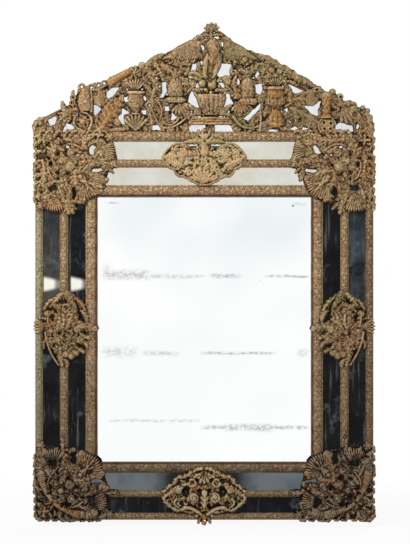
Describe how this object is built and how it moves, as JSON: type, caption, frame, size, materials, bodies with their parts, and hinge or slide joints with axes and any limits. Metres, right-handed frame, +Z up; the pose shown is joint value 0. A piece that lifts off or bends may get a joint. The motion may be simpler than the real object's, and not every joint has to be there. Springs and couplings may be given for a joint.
{
  "type": "wall mirror",
  "caption": "Tall wall mirror with a gabled crest: bordered mirror plates held under embossed copper bands, with pierced copper corner mounts, cartouches and crest.",
  "frame": {"origin": "on the wall plane, behind the centre of the middle mirror plate", "axes": "+X to the right seen from the front, +Y into the wall, +Z up"},
  "size_m": [0.9574, 0.0528, 1.4065],
  "materials": {
    "middle_mirror": "old silvering, stained along the board joints",
    "border_mirror": "dark tarnished silvering with a pale edge",
    "crest_mirror": "old silvering",
    "copper_bands": "embossed copper, brown patina, worn highs",
    "copper_mounts": "embossed copper, brown patina, worn highs",
    "copper_crest": "embossed copper, olive brown patina, worn highs",
    "copper_pins": "round copper pin heads, worn bright",
    "carcass_wood": "old pine, brown with age",
    "back_board_wood": "rough sawn old pine",
    "batten_wood": "half round pine moulding",
    "iron": "dark wrought iron with rust"
  },
  "bodies": {
    "frame": {"back_board_1": "back_board_wood", "back_board_2": "back_board_wood", "back_board_3": "back_board_wood", "back_board_4": "back_board_wood", "band_battens": "batten_wood", "cartouche_bottom": "copper_mounts", "cartouche_left": "copper_mounts", "cartouche_right": "copper_mounts", "cartouche_top": "copper_mounts", "copper_pins": "copper_pins", "corner_mount_lower_left": "copper_mounts", "corner_mount_lower_right": "copper_mounts", "corner_mount_upper_left": "copper_mounts", "corner_mount_upper_right": "copper_mounts", "crest_base_band": "copper_bands", "crest_basket": "copper_crest", "crest_board": "carcass_wood", "crest_eagle": "copper_crest", "crest_glass_left": "crest_mirror", "crest_glass_left_end": "crest_mirror", "crest_glass_right": "crest_mirror", "crest_glass_right_end": "crest_mirror", "crest_left": "copper_crest", "crest_right": "copper_crest", "glass_inner_bottom_left": "border_mirror", "glass_inner_bottom_right": "border_mirror", "glass_inner_left_lower": "border_mirror", "glass_inner_left_upper": "border_mirror", "glass_inner_right_lower": "border_mirror", "glass_inner_right_upper": "border_mirror", "glass_inner_top_left": "border_mirror", "glass_inner_top_right": "border_mirror", "glass_outer_bottom_left": "border_mirror", "glass_outer_bottom_right": "border_mirror", "glass_outer_left_lower": "border_mirror", "glass_outer_left_upper": "border_mirror", "glass_outer_right_lower": "border_mirror", "glass_outer_right_upper": "border_mirror", "glass_outer_top_left": "border_mirror", "glass_outer_top_right": "border_mirror", "hanger_straps": "iron", "inner_band_bottom": "copper_bands", "inner_band_left": "copper_bands", "inner_band_right": "copper_bands", "inner_band_top": "copper_bands", "iron_nails": "iron", "main_mirror_plate": "middle_mirror", "mid_band_bottom": "copper_bands", "mid_band_left": "copper_bands", "mid_band_right": "copper_bands", "mid_band_top": "copper_bands", "outer_band_bottom": "copper_bands", "outer_band_left": "copper_bands", "outer_band_right": "copper_bands", "rail_bottom": "carcass_wood", "rail_top": "carcass_wood", "stile_left": "carcass_wood", "stile_right": "carcass_wood"},
    "hanger_ring_left": {"hanger_ring_left": "iron"},
    "hanger_ring_right": {"hanger_ring_right": "iron"}
  },
  "joints": [
    {"name": "ring_left_swing", "type": "hinge", "parent": "frame", "child": "hanger_ring_left", "pos_m": [-0.405, -0.00595, 0.3], "axis": [1, 0, 0], "range_deg": [0, 175]},
    {"name": "ring_right_swing", "type": "hinge", "parent": "frame", "child": "hanger_ring_right", "pos_m": [0.405, -0.00595, 0.3], "axis": [1, 0, 0], "range_deg": [0, 175]}
  ]
}
